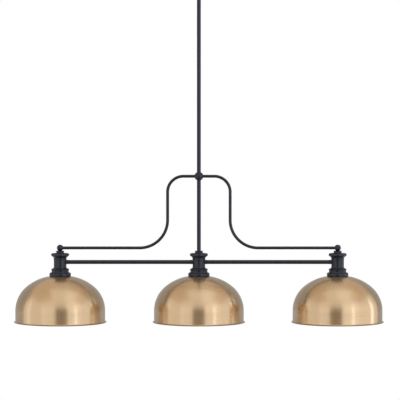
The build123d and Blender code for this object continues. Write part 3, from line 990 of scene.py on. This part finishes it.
for side in head_sides:
    low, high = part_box(f"lampholder_{side}")
    crown_z = low.z + mouth_depth
    flange_radius = (high.x - low.x) / 2
    holder = turned(
        f"lampholder_glazed_{side}",
        draw_section(
            [
                (nipple_hole, high.z),
                (barrel_radius, high.z, glaze_round),
                (barrel_radius, crown_z + flange_height, glaze_round / 2),
                (flange_radius, crown_z + flange_height, glaze_round),
                (flange_radius, crown_z),
                (barrel_radius, crown_z),
                (barrel_radius, low.z, glaze_round),
                (bore_radius, low.z, glaze_round),
                (bore_radius, crown_z - roof_depth),
                (nipple_hole, crown_z - roof_depth),
            ]
        ),
        head_place(side),
        porcelain,
    )
    fit(holder, "pendant", "porcelain", f"lampholder_{side}")


# ---- Shade nuts ----
# Moulded black phenolic ring nut, screwed up the lampholder's barrel to clamp the shade.
# Its rim is ribbed for the fingers.
nut_ribs = 36
nut_rib_depth = 0.0006
nut_band = 0.0013
nut_round = 0.0008
nut_clearance = 0.0001

nut_black = new_finish(
    "nut_black",
    surface_grain,
    {
        "Colour": (0.022, 0.021, 0.020, 1),
        "Patch Colour": (0.034, 0.031, 0.028, 1),
        "Patch Scale": 120.0,
        "Grain Scale": 900.0,
        "Stretch": (1.0, 1.0, 1.0),
        "Smoothest": 0.38,
        "Roughest": 0.55,
        "Relief": 0.25,
    },
    {"Metallic": 0.0},
)

for side in head_sides:
    low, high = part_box(f"shade_nut_{side}")
    nut = knurled_ring(
        f"shade_nut_ribbed_{side}",
        (high.x - low.x) / 2,
        barrel_radius + nut_clearance,
        low.z,
        high.z,
        nut_round,
        nut_ribs,
        nut_rib_depth,
        nut_band,
        head_place(side),
        nut_black,
    )
    fit(nut, "pendant", "nut_black", f"shade_nut_{side}")


# ---- Screw shells and centre contacts ----
# The screw shell is thin brass, rolled with the bulb's thread and pressed into the bore. The
# centre contact is a brass disc riveted to the roof above it.
inch = 0.0254
threads_per_inch = 7
thread_pitch = inch / threads_per_inch
thread_wave_steps = 10
shell_groove = 0.00035
shell_clearance = 0.0001

contact_brass = new_finish(
    "contact_brass",
    surface_grain,
    {
        "Colour": (0.78, 0.60, 0.28, 1),
        "Patch Colour": (0.58, 0.43, 0.20, 1),
        "Patch Scale": 150.0,
        "Grain Scale": 1100.0,
        "Stretch": (1.0, 1.0, 0.3),
        "Smoothest": 0.16,
        "Roughest": 0.34,
        "Relief": 0.15,
    },
    {"Metallic": 1.0},
)


def rolled_thread(root, crest, low, high):
    """A tube rolled with a round thread: one upright wave, spun up by a pitch each turn and
    cut off square at both ends."""
    tube = bmesh.new()
    waves = int((high - low) / thread_pitch) + 3
    wave = waves * thread_wave_steps
    start = low - thread_pitch
    points = []
    for index in range(wave + 1):
        swell = (1 - cos(2 * pi * index / thread_wave_steps)) / 2
        height = start + index * thread_pitch / thread_wave_steps
        points.append(tube.verts.new((root + (crest - root) * swell, 0, height)))
    for lower, upper in zip(points, points[1:]):
        tube.edges.new((lower, upper))
    steps = turn_steps // 2
    bmesh.ops.spin(
        tube,
        geom=tube.verts[:] + tube.edges[:],
        cent=(0, 0, 0),
        axis=(0, 0, 1),
        dvec=(0, 0, thread_pitch / steps),
        angle=2 * pi,
        steps=steps,
        use_merge=False,
        use_duplicate=False,
    )
    bmesh.ops.remove_doubles(tube, verts=tube.verts, dist=weld_distance)
    for height, up in ((low, -1), (high, 1)):
        bmesh.ops.bisect_plane(
            tube,
            geom=tube.verts[:] + tube.edges[:] + tube.faces[:],
            plane_co=(0, 0, height),
            plane_no=(0, 0, up),
            clear_outer=True,
        )
    bmesh.ops.recalc_face_normals(tube, faces=tube.faces)
    return tube


for side in head_sides:
    low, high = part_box(f"screw_shell_{side}")
    shell_radius = (high.x - low.x) / 2
    shell_root = shell_radius - shell_groove
    shell = rolled_thread(shell_root, shell_radius - shell_clearance, low.z, high.z)
    bmesh.ops.transform(shell, matrix=head_place(side), verts=shell.verts)
    shell_piece = finished(f"screw_shell_rolled_{side}", shell, contact_brass)
    fit(shell_piece, "pendant", "contact_brass", f"screw_shell_{side}")
    dress(f"centre_contact_{side}", contact_brass)


# ---- Bulb caps and tips ----
# The bulb's screw cap is thin nickel-plated brass with a rolled thread. Its end holds dark
# vitreous glass and a soldered tip.
cap_thread_depth = 0.0007
cap_plain_length = 0.0030
cap_cone_radius = 0.0095
cap_hem_height = 0.0012
cap_hem_step = 0.0004
cap_cone_step = 0.0003
cap_tip_gap = 0.00005

bulb_cap_nickel = new_finish(
    "bulb_cap_nickel",
    surface_grain,
    {
        "Colour": (0.72, 0.70, 0.66, 1),
        "Patch Colour": (0.60, 0.58, 0.54, 1),
        "Patch Scale": 130.0,
        "Grain Scale": 1300.0,
        "Stretch": (1.0, 1.0, 0.25),
        "Smoothest": 0.12,
        "Roughest": 0.26,
        "Relief": 0.12,
    },
    {"Metallic": 1.0},
)
bulb_tip_dark = new_finish(
    "bulb_tip_dark",
    surface_grain,
    {
        "Colour": (0.020, 0.020, 0.024, 1),
        "Patch Colour": (0.045, 0.042, 0.040, 1),
        "Patch Scale": 260.0,
        "Grain Scale": 900.0,
        "Stretch": (1.0, 1.0, 1.0),
        "Smoothest": 0.12,
        "Roughest": 0.30,
        "Relief": 0.18,
    },
    {"Metallic": 0.0, "Coat Weight": 0.4, "Coat Roughness": 0.1},
)


def boundary_near(shape, height):
    """The open edge loop of a tube nearest a height."""
    loose = [edge for edge in shape.edges if edge.is_boundary]
    return [edge for edge in loose if abs(edge.verts[0].co.z - height) < thread_pitch / 4]


def add_ring(shape, radius, height):
    """A free ring of edges, matched to the rolled thread's steps."""
    made = bmesh.ops.create_circle(shape, segments=turn_steps // 2, radius=radius)["verts"]
    bmesh.ops.translate(shape, verts=made, vec=(0, 0, height))
    return list({edge for point in made for edge in point.link_edges})


for side in head_sides:
    low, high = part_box(f"bulb_cap_{side}")
    crest = (high.x - low.x) / 2
    root = crest - cap_thread_depth
    thread_low = low.z + cap_plain_length
    thread_high = high.z - (crest - cap_cone_radius)
    hem = ((root, thread_low - cap_hem_step), (root, low.z + cap_hem_height), (crest, low.z))
    cone = ((root, thread_high + cap_cone_step), (cap_cone_radius, high.z - cap_tip_gap))
    bulb_cap = rolled_thread(root, crest, thread_low, thread_high)
    foot = boundary_near(bulb_cap, thread_low)
    crown = boundary_near(bulb_cap, thread_high)
    for ends, rings in ((foot, hem), (crown, cone)):
        for radius, height in rings:
            following = add_ring(bulb_cap, radius, height)
            bmesh.ops.bridge_loops(bulb_cap, edges=ends + following)
            ends = following
        bmesh.ops.edgeloop_fill(bulb_cap, edges=ends)
    bmesh.ops.recalc_face_normals(bulb_cap, faces=bulb_cap.faces)
    bmesh.ops.transform(bulb_cap, matrix=head_place(side), verts=bulb_cap.verts)
    piece = finished(f"bulb_cap_rolled_{side}", bulb_cap, bulb_cap_nickel)
    fit(piece, f"bulb_{side}", "bulb_cap_nickel", f"bulb_cap_{side}")
    dress(f"bulb_tip_{side}", bulb_tip_dark)


# ---- Bulb glass ----
# A pear-shaped blown bulb, frosted inside: a straight neck held in the cap, a flare, and a
# round globe that hangs just above the rim of the shade.
glass_neck_radius = 0.0122
glass_neck_length = 0.0030
glass_neck_insert = 0.0040
glass_globe_radius = 0.0300
glass_wall = 0.0010

bulb_glass = new_finish(
    "bulb_glass",
    surface_grain,
    {
        "Colour": (0.93, 0.93, 0.91, 1),
        "Patch Colour": (0.88, 0.88, 0.86, 1),
        "Patch Scale": 40.0,
        "Grain Scale": 1200.0,
        "Stretch": (1.0, 1.0, 1.0),
        "Smoothest": 0.30,
        "Roughest": 0.42,
        "Relief": 0.06,
    },
    {
        "Metallic": 0.0,
        "Transmission Weight": 0.45,
        "IOR": 1.5,
        "Coat Weight": 0.5,
        "Coat Roughness": 0.05,
    },
)


def glass_section(bottom, top):
    """Neck, flare and globe, each tangent to the next, drawn downwards from the neck's end."""
    globe_z = bottom + glass_globe_radius
    neck_z = top - glass_neck_insert - glass_neck_length
    drop = neck_z - globe_z
    flare = (glass_neck_radius**2 + drop**2 - glass_globe_radius**2) / (
        2 * (glass_globe_radius - glass_neck_radius)
    )
    angle = acos((glass_neck_radius + flare) / (glass_globe_radius + flare))
    outline = bmesh.new()
    point = outline.verts.new((glass_neck_radius, 0, top))
    neck = bmesh.ops.extrude_vert_indiv(outline, verts=[point])["verts"][0]
    neck.co.z = neck_z
    point = arc(outline, neck, (glass_neck_radius + flare, neck_z), angle)
    arc(outline, point, (0, globe_z), -angle - pi / 2)
    return outline


for side in head_sides:
    low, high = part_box(f"bulb_glass_{side}")
    glass = turned(
        f"bulb_glass_blown_{side}", glass_section(low.z, high.z), head_place(side), bulb_glass
    )
    add_wall(glass, glass_wall)
    fit(glass, f"bulb_{side}", "bulb_glass", f"bulb_glass_{side}")


# ---- Studio ----
# A pale floor well below the pendant that fades into the white surround, soft boxes overhead
# and on both sides, and grey cards that only the metal's reflections show.
floor_drop = 0.9
floor_radius = 14.0
floor_segments = 96
floor_fade = (2.5, 5.0)
floor_colour = (0.80, 0.80, 0.80, 1)
floor_glow = 0.72


def shown_rays(tree):
    """1 for what the camera sees, also by reflection or through glass, and 0 for the rest."""
    rays = add_node(tree, "ShaderNodeLightPath").outputs
    direct = add_node(
        tree,
        "ShaderNodeMath",
        {0: rays["Is Camera Ray"], 1: rays["Is Glossy Ray"]},
        operation="MAXIMUM",
    ).outputs[0]
    return add_node(
        tree, "ShaderNodeMath", {0: direct, 1: rays["Is Transmission Ray"]}, operation="MAXIMUM"
    ).outputs[0]


def make_floor():
    """One-sided floor: lit and shadowed near the object, plain white further out."""
    disc = bmesh.new()
    bmesh.ops.create_circle(disc, cap_ends=True, segments=floor_segments, radius=floor_radius)
    bmesh.ops.translate(disc, verts=disc.verts, vec=(0, 0, cad_low.z - floor_drop))
    material = bpy.data.materials.new("studio_floor")
    material.use_nodes = True
    tree = material.node_tree
    tree.nodes.remove(tree.nodes["Principled BSDF"])
    place = add_node(tree, "ShaderNodeTexCoord").outputs["Object"]
    flat = add_node(
        tree, "ShaderNodeVectorMath", {0: place, 1: (1, 1, 0)}, operation="MULTIPLY"
    ).outputs[0]
    distance = add_node(
        tree, "ShaderNodeVectorMath", {0: flat}, operation="LENGTH"
    ).outputs["Value"]
    fade = add_node(
        tree,
        "ShaderNodeMapRange",
        {
            "Value": distance,
            "From Min": floor_fade[0],
            "From Max": floor_fade[1],
            "To Min": floor_glow,
            "To Max": 1.0,
        },
    ).outputs["Result"]
    glow = add_node(tree, "ShaderNodeMath", {0: fade, 1: shown_rays(tree)}, operation="MULTIPLY")
    lit = add_node(tree, "ShaderNodeBsdfDiffuse", {"Color": floor_colour}).outputs[0]
    white = add_node(
        tree, "ShaderNodeEmission", {"Color": (1, 1, 1, 1), "Strength": 1.0}
    ).outputs[0]
    top = add_node(tree, "ShaderNodeMixShader", {0: glow.outputs[0], 1: lit, 2: white}).outputs[0]
    clear = add_node(tree, "ShaderNodeBsdfTransparent").outputs[0]
    behind = add_node(tree, "ShaderNodeNewGeometry").outputs["Backfacing"]
    both = add_node(tree, "ShaderNodeMixShader", {0: behind, 1: top, 2: clear}).outputs[0]
    tree.links.new(both, tree.nodes["Material Output"].inputs["Surface"])
    floor = finished("studio_floor", disc, material)


make_floor()

world = bpy.data.worlds.new("studio")
bpy.context.scene.world = world
world.use_nodes = True
world_diffuse = 0.65
sky = world.node_tree
level = add_node(
    sky,
    "ShaderNodeMapRange",
    {"Value": shown_rays(sky), "To Min": world_diffuse, "To Max": 1.0},
).outputs["Result"]
sky.nodes["Background"].inputs["Color"].default_value = (1, 1, 1, 1)
sky.links.new(level, sky.nodes["Background"].inputs["Strength"])

# Each lamp: centre, point it faces, width, height, radiance, and whether metal mirrors it.
lamps = {
    "lamp_overhead": ((0.0, -0.8, 2.6), (0, 0, -1.0), 3.0, 2.6, 1.6, False),
    "lamp_upper_right": ((1.9, -1.7, 2.2), (1.9, -1.7, -1.0), 3.2, 3.6, 0.18, True),
    "panel_right": ((5.1, -6.9, 0.3), (0, 0, -1.1), 7.2, 6.4, 0.38, True),
    "panel_right_far": ((7.6, -2.4, -0.4), (0, 0, -1.1), 3.6, 4.4, 0.22, True),
    "panel_left": ((-4.6, -7.2, -0.4), (0, 0, -1.1), 5.0, 4.8, 0.25, True),
    "strip_right": ((5.5, -6.4, -0.6), (0, 0, -1.1), 0.7, 4.2, 1.5, True),
    "strip_left": ((-5.9, -6.3, -0.6), (0, 0, -1.1), 0.9, 4.0, 0.16, True),
    "kicker_right": ((3.7, 0.36, -0.85), (0.457, 0, -1.1), 0.46, 2.4, 1.5, True),
    "kicker_left": ((-3.7, -0.30, -0.85), (-0.457, 0, -1.1), 0.35, 2.4, 0.5, True),
}
cool_white = (0.88, 1.0, 1.20)


def facing(centre, target):
    """A placement at a centre whose -Z looks at the target."""
    look = (Vector(target) - Vector(centre)).to_track_quat("-Z", "Y")
    return Matrix.LocRotScale(Vector(centre), look, None)


for name, (centre, target, width, height, radiance, mirrored) in lamps.items():
    lamp = bpy.data.lights.new(name, "AREA")
    lamp.shape = "RECTANGLE"
    lamp.size = width
    lamp.size_y = height
    lamp.energy = radiance * pi * width * height
    lamp.color = cool_white if mirrored else (1.0, 1.0, 1.0)
    soft_box = bpy.data.objects.new(name, lamp)
    soft_box.matrix_world = facing(centre, target)
    soft_box.visible_camera = False
    soft_box.visible_glossy = mirrored
    bpy.context.scene.collection.objects.link(soft_box)

# Grey cards, seen only by reflection: the unlit room round the camera, below, behind and above
# the object. Each flat card: its corners in order, then its radiance.
card_lift = 0.02
room_floor = cad_low.z - floor_drop + card_lift
room_ceiling = 3.5
cards = {
    "card_camera": (
        (-1.12, -4.1, room_floor),
        (1.04, -4.1, room_floor),
        (1.04, -4.1, 0.1),
        (-1.12, -4.1, 0.1),
        0.20,
    ),
    "card_table": (
        (-0.8, -1.9, room_floor),
        (0.75, -1.9, room_floor),
        (1.04, -4.1, room_floor),
        (-1.12, -4.1, room_floor),
        0.26,
    ),
    "card_below": (
        (-0.9, -1.3, room_floor),
        (0.9, -1.3, room_floor),
        (0.9, 0.3, room_floor),
        (-0.9, 0.3, room_floor),
        0.10,
    ),
    "card_ceiling_back": (
        (-7, 0.3, room_ceiling),
        (7, 0.3, room_ceiling),
        (7, 7, room_ceiling),
        (-7, 7, room_ceiling),
        0.62,
    ),
    "card_ceiling_left": (
        (-7, -4, room_ceiling),
        (-2, -4, room_ceiling),
        (-2, 0.3, room_ceiling),
        (-7, 0.3, room_ceiling),
        0.65,
    ),
    "card_ceiling_right": (
        (2.8, -4, room_ceiling),
        (7, -4, room_ceiling),
        (7, 0.3, room_ceiling),
        (2.8, 0.3, room_ceiling),
        0.65,
    ),
}
room_radius = 6.0
room_steps = 48
room_top = 3.4
room_right = radians(118)
room_left = radians(257)
room_level = 0.41
room_tint = (1.0, 0.98, 0.97, 1)
card_tint = (1.15, 1.0, 0.84, 1)


def hang_card(name, shape, tint, radiance):
    """Make a card that only reflections show and that throws neither light nor shadow."""
    material = bpy.data.materials.new(name)
    material.use_nodes = True
    tree = material.node_tree
    tree.nodes.remove(tree.nodes["Principled BSDF"])
    glow = add_node(tree, "ShaderNodeEmission", {"Color": tint, "Strength": radiance})
    tree.links.new(glow.outputs[0], tree.nodes["Material Output"].inputs["Surface"])
    sheet = finished(name, shape, material)
    sheet.visible_camera = False
    sheet.visible_diffuse = False
    sheet.visible_transmission = False
    sheet.visible_shadow = False


for name, (*corners, radiance) in cards.items():
    flat_card = bmesh.new()
    flat_card.faces.new([flat_card.verts.new(corner) for corner in corners])
    hang_card(name, flat_card, card_tint, radiance)

# The room's back wall: an upright line swept round behind the object, from right to left.
back_wall = bmesh.new()
start_x, start_y = room_radius * sin(room_right), -room_radius * cos(room_right)
ends = [back_wall.verts.new((start_x, start_y, height)) for height in (room_floor, room_top)]
edge = back_wall.edges.new(ends)
bmesh.ops.spin(
    back_wall,
    geom=[edge, *ends],
    cent=(0, 0, 0),
    axis=(0, 0, 1),
    angle=room_left - room_right,
    steps=room_steps,
    use_merge=False,
    use_duplicate=False,
)
hang_card("card_back_wall", back_wall, room_tint, room_level)


# ---- Camera ----
# A long lens straight in front of the middle head, level with the stem above the hub and
# tipped down a little.
camera_lens = 259.7
camera_distance = 9.5
camera_tip = radians(2.66)
camera_aim = Vector((0.0037, 0.0, -0.7818))

lens = bpy.data.cameras.new("camera")
lens.lens = camera_lens
lens.sensor_width = 36.0
lens.clip_end = 100.0
camera = bpy.data.objects.new("camera", lens)
back = Vector((0.0, -cos(camera_tip), sin(camera_tip))) * camera_distance
camera.matrix_world = Matrix.LocRotScale(
    camera_aim + back, Matrix.Rotation(pi / 2 - camera_tip, 3, "X").to_quaternion(), None
)
bpy.context.scene.collection.objects.link(camera)
bpy.context.scene.camera = camera
bpy.context.scene.view_settings.view_transform = "Standard"
